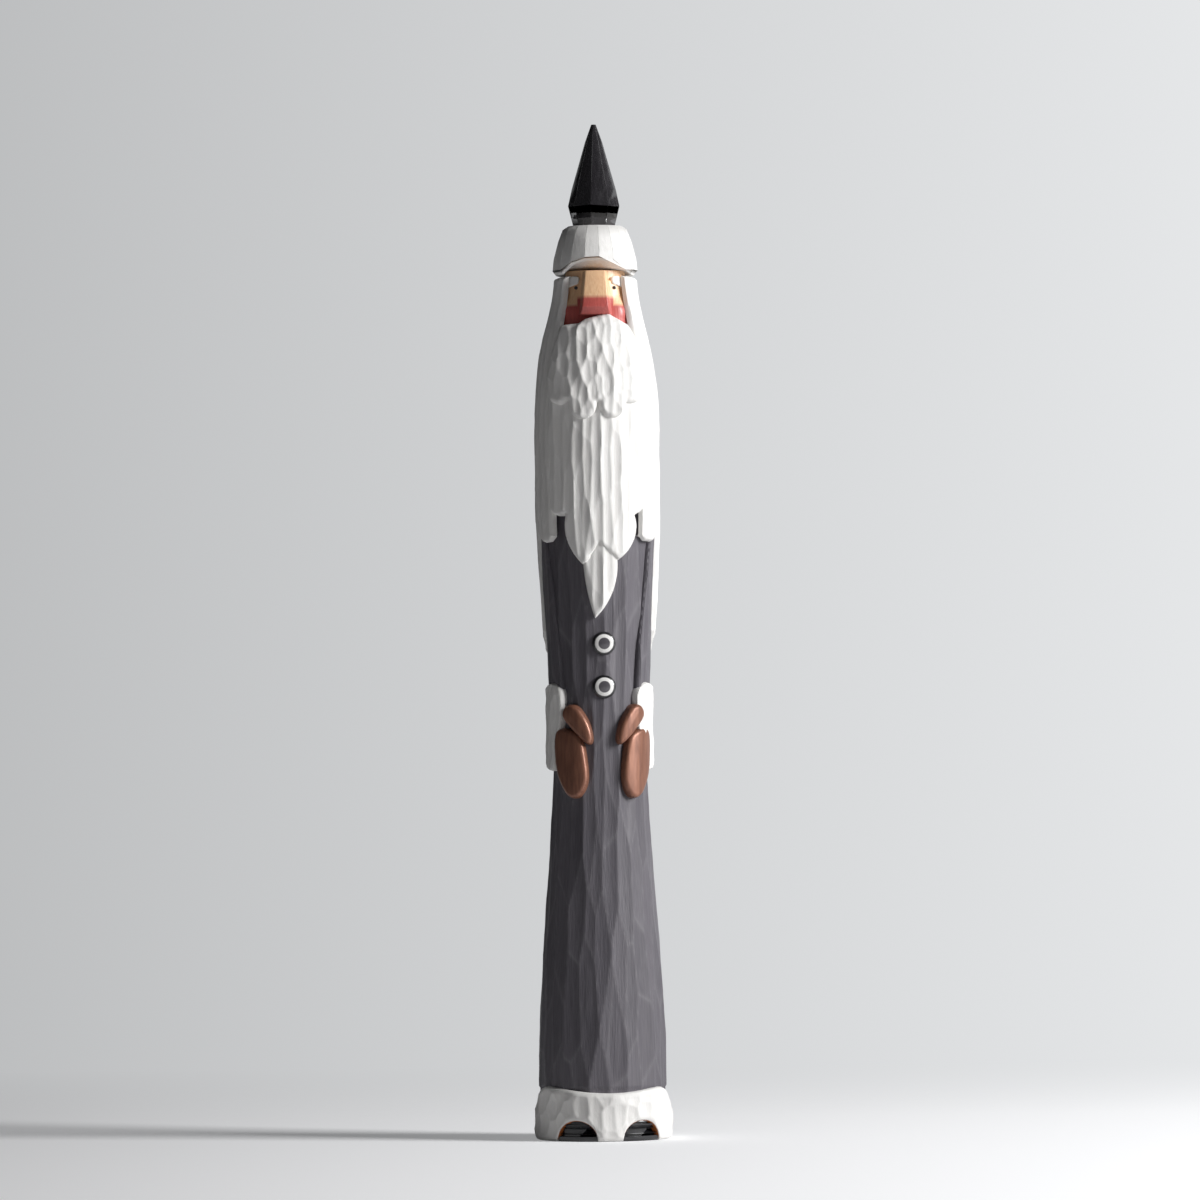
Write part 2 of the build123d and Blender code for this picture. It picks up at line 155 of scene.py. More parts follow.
# %% Outlines
def arc(start, middle, end, count=16):
    """Points on the circle through three points, without the last one."""
    (ax, ay), (bx, by), (cx, cy) = start, middle, end
    area = 2 * (ax * (by - cy) + bx * (cy - ay) + cx * (ay - by))
    squares = ax * ax + ay * ay, bx * bx + by * by, cx * cx + cy * cy
    x = (squares[0] * (by - cy) + squares[1] * (cy - ay) + squares[2] * (ay - by)) / area
    y = (squares[0] * (cx - bx) + squares[1] * (ax - cx) + squares[2] * (bx - ax)) / area
    first, half, last = (math.atan2(py - y, px - x) for px, py in (start, middle, end))
    turn = (last - first) % math.tau
    if (half - first) % math.tau > turn:
        turn -= math.tau
    radius = math.hypot(ax - x, ay - y)
    angles = first + turn * np.arange(count) / count
    return [(x + radius * math.cos(angle), y + radius * math.sin(angle)) for angle in angles]


def chain(start, *arcs):
    """An outline of arcs: each is its middle point and end point. A single point is a straight run."""
    points = []
    for step in arcs:
        if isinstance(step[0], tuple):
            points += arc(start, step[0], step[1])
            start = step[1]
        else:
            points += [(start[0] + (step[0] - start[0]) * part / 8,
                        start[1] + (step[1] - start[1]) * part / 8) for part in range(8)]
            start = step
    return np.array(points)


def loop(points, count=10):
    """A smooth closed curve through the points."""
    points = np.array(points, float)
    before, after, next_after = (np.roll(points, shift, axis=0) for shift in (1, -1, -2))
    curve = []
    for number in range(len(points)):
        p0, p1, p2, p3 = before[number], points[number], after[number], next_after[number]
        for part in np.arange(count) / count:
            curve.append(0.5 * (2 * p1 + (p2 - p0) * part + (2 * p0 - 5 * p1 + 4 * p2 - p3) * part ** 2
                                + (3 * p1 - p0 - 3 * p2 + p3) * part ** 3))
    return np.array(curve)


def near_outline(points, outline):
    """The nearest point of the outline to each point, and its distance."""
    ends = np.roll(outline, -1, axis=0)
    along = ends - outline
    lengths = np.maximum((along ** 2).sum(1), 1e-12)
    nearest = np.empty_like(points)
    for start in range(0, len(points), 4000):
        part = points[start:start + 4000]
        share = ((part[:, None] - outline[None]) * along[None]).sum(2) / lengths
        spots = outline[None] + np.clip(share, 0, 1)[..., None] * along[None]
        best = ((spots - part[:, None]) ** 2).sum(2).argmin(1)
        nearest[start:start + 4000] = spots[np.arange(len(part)), best]
    return nearest, np.hypot(*(nearest - points).T)


def inside(points, outline):
    """Which points lie inside the outline."""
    ends = np.roll(outline, -1, axis=0)
    result = np.zeros(len(points), bool)
    for (ax, ay), (bx, by) in zip(outline, ends):
        if ay != by:
            crosses = (points[:, 1] >= min(ay, by)) & (points[:, 1] < max(ay, by))
            at = ax + (points[:, 1] - ay) * (bx - ax) / (by - ay)
            result ^= crosses & (points[:, 0] < at)
    return result


# %% A sheet from an outline
def flat_points(work):
    return np.array([vert.co[:2] for vert in work.verts])


def place_flat(work, points):
    for vert, (x, y) in zip(work.verts, points):
        vert.co.x = x
        vert.co.y = y


def rim_verts(work):
    return [vert for vert in work.verts if any(edge.is_boundary for edge in vert.link_edges)]


def cut_sheet(outline, step):
    """A flat bmesh of small triangles that ends cleanly at the outline."""
    low, high = outline.min(0), outline.max(0)
    span = high - low
    work = bmesh.new()
    counts = [max(2, round(size / step)) for size in span]
    bmesh.ops.create_grid(work, x_segments=counts[0], y_segments=counts[1], size=0.5)
    bmesh.ops.scale(work, vec=(*span, 1), verts=work.verts)
    bmesh.ops.translate(work, vec=(*(low + high) / 2, 0), verts=work.verts)
    bmesh.ops.triangulate(work, faces=work.faces)
    points = flat_points(work)
    nearest, distance = near_outline(points, outline)
    close = distance < 0.5 * step
    points[close] = nearest[close]
    place_flat(work, points)
    centres = np.array([face.calc_center_median()[:2] for face in work.faces])
    outside = ~inside(centres, outline)
    bmesh.ops.delete(work, geom=[face for face, out in zip(work.faces[:], outside) if out], context="FACES")
    for _ in range(2):
        rim = rim_verts(work)
        nearest, _ = near_outline(np.array([vert.co[:2] for vert in rim]), outline)
        for vert, (x, y) in zip(rim, nearest):
            vert.co.x, vert.co.y = x, y
        slivers = [face for face in work.faces if face.calc_area() < 0.06 * step * step]
        bmesh.ops.delete(work, geom=slivers, context="FACES")
    turns = outline - np.roll(outline, 1, axis=0)
    headings = np.arctan2(turns[:, 1], turns[:, 0])
    bends = np.abs((np.roll(headings, -1) - headings + math.pi) % math.tau - math.pi)
    rim = rim_verts(work)
    border = np.array([vert.co[:2] for vert in rim])
    for corner in outline[bends > 0.6]:
        vert = rim[int(((border - corner) ** 2).sum(1).argmin())]
        vert.co.x, vert.co.y = corner
    held = set(rim)
    nearest, distance = near_outline(flat_points(work), outline)
    soft = [vert for vert, far in zip(work.verts, distance) if vert not in held and far < 3 * step]
    for _ in range(3):
        bmesh.ops.smooth_vert(work, verts=soft, factor=0.5, use_axis_x=True, use_axis_y=True)
    return work


# %% Bending a sheet round the column
roll = 14.0


def bend_sheet(work, outline, facing=0.0, lift=1.5, unrolled=False):
    """Angles round the axis, heights and distances from the outline of a flat sheet's points.

    facing is the angle, in degrees from the front, from which the outline was drawn. An unrolled
    sheet has the length round a 14 mm radius as its first coordinate.
    """
    points = flat_points(work)
    distance = near_outline(points, outline)[1]
    height = points[:, 1]
    if unrolled:
        return points[:, 0] / roll, height, distance
    share = np.clip(points[:, 0] / (column(height) + lift), -0.999, 0.999)
    return math.radians(facing) + np.arcsin(share), height, distance


def set_round(work, angle, height, radius):
    """Puts the points of a bmesh at angles, heights and radii about the axis."""
    for vert, turn, z, reach in zip(work.verts, angle, height, radius):
        vert.co = (reach * math.sin(turn), -reach * math.cos(turn), z)


def keep(work, **values):
    """Stores values on the points, for the paint to read."""
    for name, numbers in values.items():
        layer = work.verts.layers.float.new(name)
        for vert, number in zip(work.verts, numbers):
            vert[layer] = number


def close_behind(work, sunk=0.5):
    """Carries a sheet's edge into the wood behind it and shuts the back."""
    rim = [edge for edge in work.edges if edge.is_boundary]
    made = bmesh.ops.extrude_edge_only(work, edges=rim)["geom"]
    for vert in made:
        if isinstance(vert, bmesh.types.BMVert):
            depth = (column(vert.co.z) - sunk) / max(math.hypot(vert.co.x, vert.co.y), 1e-6)
            vert.co.x *= depth
            vert.co.y *= depth
    back = [edge for edge in work.edges if edge.is_boundary]
    bmesh.ops.triangle_fill(work, edges=back, use_beauty=True)
    bmesh.ops.recalc_face_normals(work, faces=work.faces)


# %% [markdown]
# ## From a bmesh to a piece
#
# A finished bmesh is scaled from millimetres to metres, smoothed except at its sharp edges, and
# handed to the frame: it rides on the one body, and stands for its CAD nodes.

# %% Handing over a piece
def hand_over(work, name, finishes, nodes, crease=38.0):
    """Makes an object of a bmesh in millimetres."""
    bmesh.ops.scale(work, vec=(MM, MM, MM), verts=work.verts)
    limit = math.radians(crease)
    for face in work.faces:
        face.smooth = True
    for edge in work.edges:
        if edge.is_manifold and edge.calc_face_angle(0) > limit:
            edge.smooth = False
    open_edges = sum(not edge.is_manifold for edge in work.edges)
    name = name.replace(" ", "_")
    mesh = bpy.data.meshes.new(name)
    work.to_mesh(mesh)
    work.free()
    for finish in finishes:
        mesh.materials.append(finish)
    piece = bpy.data.objects.new(name, mesh)
    bpy.context.scene.collection.objects.link(piece)
    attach(piece, "root")
    if nodes:
        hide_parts(*nodes)
    mesh.calc_loop_triangles()
    print(f"{name}: {len(mesh.loop_triangles)} triangles, {open_edges} open edges")
    return piece

# %% [markdown]
# ## Paint
#
# A painter's finish is thin: the wood's grain and the brush's streaks show in it, and it wears on the
# ridges. The ridges are painted lighter than the troughs: on the dark coat partly as worn paint, and on
# every finish as a painted highlight of the raking light. Each finish mixes those by plain arithmetic
# on the object's coordinates and on the ridge and tone values that the gouge left behind.

# %% Shader arithmetic
class Value:
    """A number in a shader: arithmetic on it adds Math nodes."""

    def __init__(self, finish, socket):
        self.finish = finish
        self.socket = socket

    def work_out(self, operation, *others, clamp=False):
        node = self.finish.tree.nodes.new("ShaderNodeMath")
        node.operation = operation
        node.use_clamp = clamp
        for slot, other in zip(node.inputs, (self, *others)):
            self.finish.feed(slot, other)
        return Value(self.finish, node.outputs[0])

    def __add__(self, other):
        return self.work_out("ADD", other)

    def __mul__(self, other):
        return self.work_out("MULTIPLY", other)

    def __sub__(self, other):
        return self.work_out("SUBTRACT", other)

    def __truediv__(self, other):
        return self.work_out("DIVIDE", other)

    def __rsub__(self, other):
        return (self * -1) + other

    __radd__ = __add__
    __rmul__ = __mul__

    def between(self, low, high):
        """0 below low, 1 above high, and a straight rise between them."""
        return ((self - low) / (high - low)).work_out("MULTIPLY", 1.0, clamp=True)


class Finish:
    """A material, built from values."""

    def __init__(self, name, **uniform):
        self.material = bpy.data.materials.new(name)
        self.material.use_nodes = True
        self.tree = self.material.node_tree
        self.shader = self.tree.nodes["Principled BSDF"]
        for socket, value in uniform.items():
            self.shader.inputs[socket.replace("_", " ")].default_value = value
        place = self.node("ShaderNodeTexCoord").outputs["Object"]
        parts = self.node("ShaderNodeSeparateXYZ", Vector=place)
        self.place = place
        self.x, self.y, self.z = (Value(self, parts.outputs[axis]) / MM for axis in "XYZ")

    def feed(self, slot, value):
        if isinstance(value, Value):
            value = value.socket
        if isinstance(value, bpy.types.NodeSocket):
            self.tree.links.new(value, slot)
        else:
            slot.default_value = value

    def node(self, kind, settings=None, **inputs):
        node = self.tree.nodes.new(kind)
        for name, value in (settings or {}).items():
            setattr(node, name, value)
        for name, value in inputs.items():
            self.feed(node.inputs[name], value)
        return node

    def stored(self, name):
        return Value(self, self.node("ShaderNodeAttribute", {"attribute_name": name}).outputs["Fac"])

    def noise(self, across, along, detail=3.0):
        """Noise from 0 to 1 with this many patches per millimetre across and along the height."""
        stretched = self.node("ShaderNodeVectorMath", {"operation": "MULTIPLY"})
        self.feed(stretched.inputs[0], self.place)
        self.feed(stretched.inputs[1], (across / MM, across / MM, along / MM))
        texture = self.node("ShaderNodeTexNoise", Vector=stretched.outputs[0], Scale=1.0, Detail=detail)
        return Value(self, texture.outputs["Fac"]).between(0.28, 0.72)

    def mix(self, share, first, second):
        node = self.node("ShaderNodeMix", {"data_type": "RGBA"})
        self.feed(node.inputs["Factor"], share)
        for slot, colour in (("A", first), ("B", second)):
            target = next(s for s in node.inputs if s.name == slot and s.type == "RGBA")
            self.feed(target, (*colour, 1.0) if isinstance(colour, tuple) else colour)
        return next(s for s in node.outputs if s.type == "RGBA")

    def done(self, colour, roughness, height, strength=0.35, distance=0.1):
        """Connects the finish; distance is the bump's height in millimetres."""
        bump = self.node("ShaderNodeBump", Strength=strength, Distance=distance * MM, Height=height)
        for slot, value in (("Base Color", colour), ("Roughness", roughness),
                            ("Normal", bump.outputs["Normal"])):
            self.feed(self.shader.inputs[slot], value)
        return self.material


# %% The finishes
def make_white():
    paint = Finish("white paint", Specular_IOR_Level=0.3)
    streak = paint.noise(1.4, 0.12)
    tone = paint.stored("tone")
    colour = paint.mix(tone * 0.5 + streak * 0.4, (0.86, 0.85, 0.83), (0.77, 0.755, 0.73))
    # Painted highlight: the ridges are painted a lighter white, where the raking light catches them.
    colour = paint.mix(paint.stored("ridge") * 0.5, colour, (0.90, 0.89, 0.87))
    colour = paint.mix(paint.stored("bare"), colour, (0.42, 0.13, 0.035))
    return paint.done(colour, streak * 0.2 + 0.5, streak + paint.noise(5, 1.2) * 0.4)


def make_coat():
    paint = Finish("charcoal paint", Specular_IOR_Level=0.4)
    grain = paint.noise(2.6, 0.1, 5.0)
    colour = paint.mix(grain * 0.6 + paint.stored("tone") * 0.5, (0.135, 0.126, 0.142), (0.085, 0.079, 0.092))
    # The ridges are painted a lighter grey: partly worn paint, partly a painted highlight where the raking
    # light catches them.
    colour = paint.mix(paint.stored("ridge") * 0.55, colour, (0.19, 0.18, 0.195))
    return paint.done(colour, grain * 0.15 + 0.44, grain + paint.noise(6, 0.5) * 0.5, 0.4, 0.12)


def make_face():
    stain = Finish("peach stain", Coat_Weight=0.35, Coat_Roughness=0.25)
    grain = stain.noise(2.4, 0.09, 5.0)
    colour = stain.mix(grain * 0.8, (0.93, 0.62, 0.37), (0.78, 0.44, 0.24))
    side = stain.x.work_out("ABSOLUTE")
    tip = (stain.z * -1).between(-207.2, -206.2) * (1 - side.between(4.3, 4.6))
    cheek = (stain.z * -1).between(-205.2, -204.4) * side.between(3.9, 4.3)
    red = (tip.work_out("MAXIMUM", cheek)) * (stain.y * -1).between(0.0, 1.0)
    colour = stain.mix(red, colour, stain.mix(grain, (0.56, 0.115, 0.095), (0.46, 0.085, 0.075)))
    return stain.done(colour, grain * 0.15 + 0.36, grain)


def make_plain(name, light, dark, roughness, across=1.2, along=0.15, **uniform):
    coat = Finish(name, **uniform)
    streak = coat.noise(across, along)
    return coat.done(coat.mix(streak, light, dark), streak * 0.12 + roughness, streak, 0.25)


def make_button():
    enamel = Finish("button enamel", Coat_Weight=0.5, Coat_Roughness=0.1)
    reach = enamel.stored("reach")
    ring = reach.between(1.36, 1.5) * (1 - reach.between(2.2, 2.34))
    wear = enamel.noise(3.0, 3.0)
    colour = enamel.mix(1 - reach.between(1.3, 1.45), (0.012, 0.012, 0.014), (0.075, 0.07, 0.08))
    colour = enamel.mix(ring, colour, enamel.mix(wear * 0.4, (0.84, 0.83, 0.81), (0.6, 0.59, 0.58)))
    return enamel.done(colour, wear * 0.1 + 0.3, wear, 0.2)


white, charcoal, peach, button_enamel = make_white(), make_coat(), make_face(), make_button()
bronze = make_plain("bronze paint", (0.30, 0.135, 0.085), (0.17, 0.072, 0.046), 0.34, Metallic=0.35)
hat_black = make_plain("hat lacquer", (0.014, 0.013, 0.015), (0.022, 0.02, 0.023), 0.16,
                       Coat_Weight=1.0, Coat_Roughness=0.08)
boot_black = make_plain("boot black", (0.009, 0.009, 0.011), (0.02, 0.019, 0.022), 0.3, Coat_Weight=0.4)
wood = make_plain("basswood", (0.62, 0.44, 0.26), (0.5, 0.33, 0.18), 0.55, 2.5, 0.08)
print("finishes:", [finish.name for finish in bpy.data.materials])

# %% [markdown]
# ## Coat
#
# The coat is the column itself. Long shallow scoops run down it, each three to four millimetres wide,
# cut with a wide, nearly flat gouge from the shoulders to the hem.

# %% Coat and head
def tube(low, high, segments, rings):
    """An open tube round the axis; returns it with its points' angles and heights."""
    work = bmesh.new()
    bmesh.ops.create_cone(work, cap_ends=False, segments=segments, radius1=10, radius2=10, depth=high - low)
    bmesh.ops.translate(work, vec=(0, 0, (low + high) / 2), verts=work.verts)
    upright = [edge for edge in work.edges if abs(edge.verts[0].co.z - edge.verts[1].co.z) > 0.1]
    bmesh.ops.subdivide_edges(work, edges=upright, cuts=rings - 1, use_grid_fill=True)
    places = np.array([vert.co for vert in work.verts])
    return work, np.arctan2(places[:, 0], -places[:, 1]), places[:, 2]


def shut_ends(work):
    bmesh.ops.holes_fill(work, edges=[edge for edge in work.edges if edge.is_boundary], sides=0)
    bmesh.ops.recalc_face_normals(work, faces=work.faces)


hem_height = 13.0
work, angle, height = tube(0, 161, 250, 330)
strokes = lay_strokes(7, 25, (-math.pi, math.pi), 21, -10, 170)
strokes[:, 0] *= 13.5
left, ridge, tone = carve(angle * 13.5, height, strokes, 6.0, 330, period=math.tau * 13.5)
set_round(work, angle, height, column(height) - 0.5 + np.clip(left, 0, 0.75) - 0.3 * (height < hem_height))
keep(work, ridge=ridge, tone=tone)
shut_ends(work)
hand_over(work, "coat", [charcoal], ["coat_post"], 60)

work, angle, height = tube(160.5, 213.4, 160, 120)
cheeks = np.exp(-((np.abs(np.degrees(angle)) - 42) / 16) ** 2 - ((height - 203.6) / 2.6) ** 2)
brow_ledge = 0.5 * (height > 211)
set_round(work, angle, height, column(height) - 0.15 + 0.9 * cheeks * (height > 198) - brow_ledge)
shut_ends(work)
hand_over(work, "head", [peach], ["head_block"], 40)

# %% [markdown]
# ## Face
#
# The nose is a blunt wedge with cut flanks and a flat tip. The eyes are two pins, and the brows two
# dabs of white paint with a little body.

# %% Nose and eyes
work = bmesh.new()
bmesh.ops.create_cube(work, size=1)
nose_low, nose_high = 202.3, 213.2
for vert in work.verts:
    upper, front = vert.co.z > 0, vert.co.y < 0
    spread = (2.5 if upper else 3.4) if front else (3.0 if upper else 4.5)
    reach = (10.4 if upper else 14.0) if front else 6.5
    vert.co = (math.copysign(spread, vert.co.x), -reach, nose_high if upper else nose_low)
low_front = [edge for edge in work.edges if all(vert.co.y < -13 for vert in edge.verts)]
bmesh.ops.bevel(work, geom=low_front, offset=2.0, segments=1, profile=0.5, affect="EDGES", material=-1)
bmesh.ops.bevel(work, geom=work.edges[:], offset=0.35, segments=3, profile=0.5, affect="EDGES", material=-1)
hand_over(work, "nose", [peach], ["nose"], 50)

eye_x, eye_z = 4.7, 209.1
for side, place in (("left", eye_x), ("right", -eye_x)):
    work = bmesh.new()
    bmesh.ops.create_uvsphere(work, u_segments=24, v_segments=16, radius=0.45)
    turn = math.asin(place / column(eye_z))
    bmesh.ops.translate(work, vec=(place, -column(eye_z) * math.cos(turn) + 0.05, eye_z), verts=work.verts)
    hand_over(work, f"eye {side}", [boot_black], [f"eye_{side}"])


# %% A carved pad
def pad(name, outline, nodes, finish, step=0.3, thick=1.0, facing=0.0, bevel=0.6, crown=0.0,
        unrolled=False, cut=None, shell=False, crease=38.0):
    """A carved pad: cut out, laid round the column, gouged and closed behind."""
    work = cut_sheet(outline, step)
    angle, height, distance = bend_sheet(work, outline, facing, thick, unrolled)
    across = flat_points(work)[:, 0]
    share = np.clip(distance / bevel, 0, 1)
    body = thick * (0.35 + 0.65 * np.sqrt(1 - (1 - share) ** 2)) + crown * np.clip(distance / 3, 0, 1)
    if cut:
        strokes, blade, swing = cut
        left, ridge, tone = carve(across, height, strokes, blade, swing)
        body += (np.clip(left, 0, 0.6) - 0.25) * np.clip(distance / 0.8, 0.3, 1)
        keep(work, ridge=ridge * np.clip(distance, 0, 1), tone=tone)
    set_round(work, angle, height, column(height) + body)
    if shell:
        bmesh.ops.recalc_face_normals(work, faces=work.faces)
        bmesh.ops.solidify(work, geom=work.faces[:], thickness=thick + 0.5)
        bmesh.ops.recalc_face_normals(work, faces=work.faces)
    else:
        close_behind(work)
    return hand_over(work, name, [finish], nodes, crease)


# %% Brows
for side, sign in (("left", 1), ("right", -1)):
    brow = loop([(sign * x, z) for x, z in (
        (4.3, 211.6), (4.4, 210.2), (5.4, 209.8), (7.2, 209.3), (7.0, 211.0), (5.8, 212.0))])
    pad(f"brow {side}", brow, [f"brow_{side}"], white, 0.2, 0.35, bevel=0.4)

# %% [markdown]
# ## Hair, beard and sleeves
#
# The beard is in two tiers with scalloped ends; its lower tier narrows to a point that hangs from
# under the lobes. The hair wraps round the sides and ends behind in a mantle. All of it is cut with
# narrow gouges, short strokes above and long ones below.

# %% Beard
lower_outline = chain((-12.6, 188.0), (-12.9, 165.0), ((-12.9, 161.0), (-12.6, 156.6)),
                      ((-10.8, 153.2), (-8.3, 153.3)), ((-7.9, 146.6), (-4.1, 141.1)),
                      ((-2.6, 141.6), (-1.7, 143.2)), (0.4, 146.0), (3.0, 143.8), (5.2, 142.0),
                      ((9.0, 145.8), (9.7, 153.0)), ((11.4, 154.2), (12.7, 157.2)),
                      (12.9, 165.0), (12.6, 188.0))
tip_outline = chain((-3.9, 150.0), (-3.9, 141.5), ((-3.0, 135.0), (-0.9, 127.9)),
                    ((3.3, 133.2), (5.1, 142.1)), (5.0, 150.0))
upper_outline = chain((-9.0, 200.0), (-4.8, 200.3), (-3.1, 201.3), (3.4, 202.8), (8.7, 200.0),
                      ((12.0, 192.5), (12.9, 183.5)), ((10.8, 180.6), (8.0, 180.3)),
                      ((4.7, 176.7), (0.4, 180.5)), ((-3.2, 176.4), (-7.5, 181.0)),
                      ((-10.0, 180.1), (-12.9, 183.0)), ((-12.2, 192.0), (-9.0, 200.0)))
long_cuts = lay_strokes(21, 11, (-13, 13), 11, 120, 192, 0.2)
short_cuts = lay_strokes(34, 12, (-13, 13), 5.0, 172, 206, 0.25)
pad("beard tip", tip_outline, [], white, thick=1.5, bevel=1.3, cut=(long_cuts, 2.6, 120))
pad("lower beard", lower_outline, ["lower_beard"], white, thick=2.1, bevel=1.2,
    cut=(long_cuts, 2.6, 120))
pad("upper beard", upper_outline, ["upper_beard"], white, thick=3.4, bevel=1.5,
    cut=(short_cuts, 2.2, 18))

# %% [markdown]
# The hair goes round more than half of the column, so it is drawn unrolled, as length round a circle
# against height, and then wrapped. A sheet this wide can't be shut by filling its back, because that
# face would cut across the column, so it gets its thickness from solidify.

# %% Hair
def rolled(*points):
    """Angles in degrees to millimetres round a 14 mm radius."""
    return np.array([(math.radians(turn) * roll, z) for turn, z in points])


def densely(points, spacing=0.8):
    """More points along the same outline."""
    result = []
    for start, end in zip(points, np.roll(points, -1, axis=0)):
        count = max(1, int(np.hypot(*(end - start)) / spacing))
        result += [start + (end - start) * part / count for part in range(count)]
    return np.array(result)


hair_outline = densely(rolled(
    (46, 212), (46, 148), (52, 146.8), (66, 146.6), (80, 148.5), (91, 152), (92, 125),
    (110, 119.5), (135, 112), (160, 106), (180, 103), (200, 106), (225, 112), (250, 119.5),
    (268, 125), (269, 152), (280, 148.5), (294, 146.6), (308, 146.8), (314, 148), (314, 212)))
hair_cuts = lay_strokes(55, 24, (math.radians(40) * roll, math.radians(320) * roll), 19, 95, 218, 0.18)
pad("hair", hair_outline, ["hair"], white, 0.42, 1.9, bevel=1.0, unrolled=True,
    cut=(hair_cuts, 3.8, 260), shell=True)

# %% [markdown]
# The arms are only a low relief on the coat. A thin pad with a soft edge gives the line of the
# sleeve, and a thicker white pad over its end is the fur cuff.

# %% Sleeves and cuffs
for side, sign in (("left", 1), ("right", -1)):
    sleeve = densely(rolled(*((sign * turn, z) for turn, z in (
        (72, 150), (62, 138), (52, 122), (47, 108), (112, 106), (116, 125), (110, 150)))))
    sleeve_cuts = lay_strokes(60 + sign, 7, sorted((sign * 10.5, sign * 29.0)), 20, 95, 160)
    pad(f"sleeve {side}", sleeve, [f"sleeve_{side}"], charcoal, 0.35, 0.8, unrolled=True,
        cut=(sleeve_cuts, 5, 300))
    cuff = loop(rolled(*((sign * turn, z) for turn, z in (
        (45, 108.5), (50, 99), (60, 91.5), (78, 90.8), (98, 93), (106, 101), (98, 109.5),
        (75, 112), (54, 111.6)))))
    cuff_cuts = lay_strokes(70 + sign, 8, sorted((sign * 10.0, sign * 27.0)), 7, 85, 116)
    pad(f"cuff {side}", cuff, [f"cuff_{side}"], white, 0.3, 1.5, unrolled=True, bevel=0.8,
        cut=(cuff_cuts, 2.6, 30))

# %% [markdown]
# Each mitten is a palm and a thumb. Their outlines are closed curves through a few points, because a
# knitted shape has no corners, and they are turned with the coat by a few degrees.

# %% Mittens and thumbs
coat_turn = 6.0
for side, sign in (("left", 1), ("right", -1)):
    palm = loop([(sign * x, z) for x, z in (
        (9.9, 101), (6.4, 99), (5.0, 94), (4.6, 88), (6.6, 84.2), (9.4, 84.4), (11.6, 89), (12.3, 95),
        (12.0, 100))])
    thumb = loop([(sign * x, z) for x, z in (
        (3.2, 98.2), (4.6, 97.0), (8.2, 100.4), (10.6, 104.0), (9.6, 106.6), (7.0, 106.2), (4.2, 102.2))])
    pad(f"mitten {side}", palm, [f"mitten_{side}"], bronze, 0.25, 1.7, coat_turn, 1.0,
        crown=0.3)
    pad(f"thumb {side}", thumb, [f"thumb_{side}"], bronze, 0.25, 2.0, coat_turn, 1.0,
        crown=0.3)

# %% [markdown]
# ## Fur hem and boots
#
# The hem is a ring of short, soft cuts with two arches in front, and a black boot toe fills each.

# %% Hem
arch_centres, arch_half, arch_height = (-23.7, 35.7), 5.4, 4.9


def arch_at(angle):
    """Height of the hem's lower edge at an angle in radians."""
    lift = np.zeros_like(angle)
    for centre in arch_centres:
        across = (angle - math.radians(centre)) * 16.5 / arch_half
        lift = np.maximum(lift, arch_height * np.sqrt(np.clip(1 - across ** 2, 0, 1)))
    return lift


work, angle, share = tube(0, 1, 300, 46)
in_front = np.cos(angle) > 0
crest = 12.9 - 1.1 * np.cos(2 * angle - 0.2) * in_front - 0.5 * ~in_front
crest = crest - 6.0 * np.exp(-((np.abs(np.degrees(angle)) - 88) / 16) ** 2)
bottom = arch_at(angle)
height = bottom + (crest - bottom) * share
hem_radius = 16.0
hem_cuts = lay_strokes(81, 32, (-math.pi * hem_radius, math.pi * hem_radius), 5, -4, 18, 0.25)
left, ridge, tone = carve(angle * hem_radius, height, hem_cuts, 5, 12,
                          period=math.tau * hem_radius)
edge = np.minimum(share * (crest - bottom), (1 - share) * (crest - bottom))
over = np.clip(edge / 1.6, 0, 1)
swell = np.sqrt(1 - (1 - over) ** 2)
set_round(work, angle, height, hem_radius + swell + (np.clip(left, 0, 0.4) - 0.3) * over)
bare = (share * (crest - bottom) < 0.3) * (bottom > 0.4)
keep(work, ridge=ridge, tone=tone, bare=bare.astype(float))
for lowest in (True, False):
    ends = [e for e in work.edges if e.is_boundary
            and (np.mean([v.co.z for v in e.verts]) < 5.5) == lowest]
    made = bmesh.ops.extrude_edge_only(work, edges=ends)["geom"]
    for vert in made:
        if isinstance(vert, bmesh.types.BMVert):
            narrow = 15.0 / math.hypot(vert.co.x, vert.co.y)
            vert.co.x, vert.co.y = vert.co.x * narrow, vert.co.y * narrow
bmesh.ops.bridge_loops(work, edges=[e for e in work.edges if e.is_boundary])
bmesh.ops.recalc_face_normals(work, faces=work.faces)
hand_over(work, "fur hem", [white], ["hem_band"], 45)

for side, centre in (("right", arch_centres[0]), ("left", arch_centres[1])):
    middle = math.radians(centre) * roll
    toe = chain((middle - 4.9, 0.0), ((middle, 5.3), (middle + 4.9, 0.0)))
    toe = densely(np.vstack([toe, [(middle + 4.9, 0.0)]]), 0.5)
    pad(f"boot {side}", toe, [f"boot_{side}"], boot_black, 0.3, 0.35, unrolled=True, bevel=0.8)

# %% [markdown]
# A button is a sphere pressed flat. Each point keeps its distance from the button's middle, and the
# enamel reads that value to paint the white ring, so the ring stays round on the turned button.

# %% Buttons
for name, button_z in (("upper", 121.7), ("lower", 111.1)):
    work = bmesh.new()
    bmesh.ops.create_uvsphere(work, u_segments=64, v_segments=48, radius=2.9)
    reach = np.array([math.hypot(vert.co.x, vert.co.z) for vert in work.verts])
    keep(work, reach=reach)
    for vert in work.verts:
        vert.co.y *= 1.15 / 2.9
    turn = math.radians(coat_turn)
    bmesh.ops.rotate(work, verts=work.verts, matrix=Matrix.Rotation(turn, 3, "Z"))
    seat = column(button_z) - 0.3
    place = (seat * math.sin(turn), -seat * math.cos(turn), button_z)
    bmesh.ops.translate(work, vec=place, verts=work.verts)
    hand_over(work, f"button {name}", [button_enamel], [f"button_{name}"])

# %% [markdown]
# ## Hat
#
# The brim and the point are cut with a knife in flat facets, and the point is lacquered.

